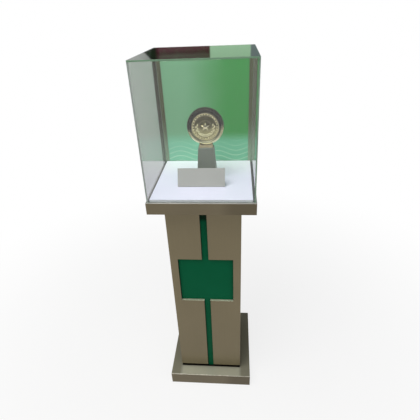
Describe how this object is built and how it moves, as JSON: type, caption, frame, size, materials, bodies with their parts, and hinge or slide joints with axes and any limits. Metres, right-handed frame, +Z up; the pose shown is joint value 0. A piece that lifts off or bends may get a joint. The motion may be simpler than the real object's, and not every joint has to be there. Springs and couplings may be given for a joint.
{
  "type": "display case",
  "caption": "Free-standing display pedestal: metal-clad column on a base plate, overhanging deck and a clear acrylic hood that lifts off the raised display floor.",
  "frame": {"origin": "on the floor, under the middle of the base plate", "axes": "+Z up, the front with the green stripe faces -Y, +X to the right seen from the front"},
  "size_m": [0.404, 0.42, 1.533],
  "materials": {
    "brushed_bronze": "brushed, bronze tone",
    "green_inlay": "satin",
    "green_backing": "gloss",
    "clear_acrylic": "polished clear",
    "white_panel": "satin",
    "caption_grey": "matt",
    "post_grey": "matt",
    "gold": "polished",
    "plywood": "raw",
    "fibreboard": "raw",
    "zinc_steel": "zinc plated",
    "glide_nylon": "moulded"
  },
  "bodies": {
    "pedestal": {"base_back_rail": "plywood", "base_bottom_board": "plywood", "base_bottom_screws": "zinc_steel", "base_front_rail": "plywood", "base_glides": "glide_nylon", "base_left_rail": "plywood", "base_right_rail": "plywood", "base_shell": "brushed_bronze", "base_top_board": "plywood", "caption_plate": "caption_grey", "carcass_screws": "zinc_steel", "column_back_board": "fibreboard", "column_bolt_washers": "zinc_steel", "column_bolts": "zinc_steel", "column_foot_board": "plywood", "column_front_board": "fibreboard", "column_head_board": "plywood", "column_left_board": "fibreboard", "column_right_board": "fibreboard", "column_tee_nuts": "zinc_steel", "corner_batten_back_left": "plywood", "corner_batten_back_right": "plywood", "corner_batten_front_left": "plywood", "corner_batten_front_right": "plywood", "deck_lower_board": "plywood", "deck_screws": "zinc_steel", "deck_shell": "brushed_bronze", "deck_soffit": "brushed_bronze", "deck_upper_board": "plywood", "floor_panel": "white_panel", "green_inlay": "green_inlay", "left_back_packer": "fibreboard", "left_front_packer": "fibreboard", "left_side_packer": "fibreboard", "left_skin": "brushed_bronze", "medal_face": "gold", "medal_foot": "gold", "medal_post": "post_grey", "medal_rim": "gold", "medal_stud": "zinc_steel", "right_back_packer": "fibreboard", "right_front_packer": "fibreboard", "right_side_packer": "fibreboard", "right_skin": "brushed_bronze"},
    "hood": {"hood_front_panel": "clear_acrylic", "hood_back_panel": "clear_acrylic", "hood_left_panel": "clear_acrylic", "hood_right_panel": "clear_acrylic", "hood_top_panel": "clear_acrylic", "green_backing_sheet": "green_backing", "back_edge_strip_left": "brushed_bronze", "back_edge_strip_right": "brushed_bronze"}
  },
  "joints": [
    {"name": "hood_lift", "type": "slide", "parent": "pedestal", "child": "hood", "axis": [0, 0, 1], "range_m": [0, 0.32]}
  ]
}
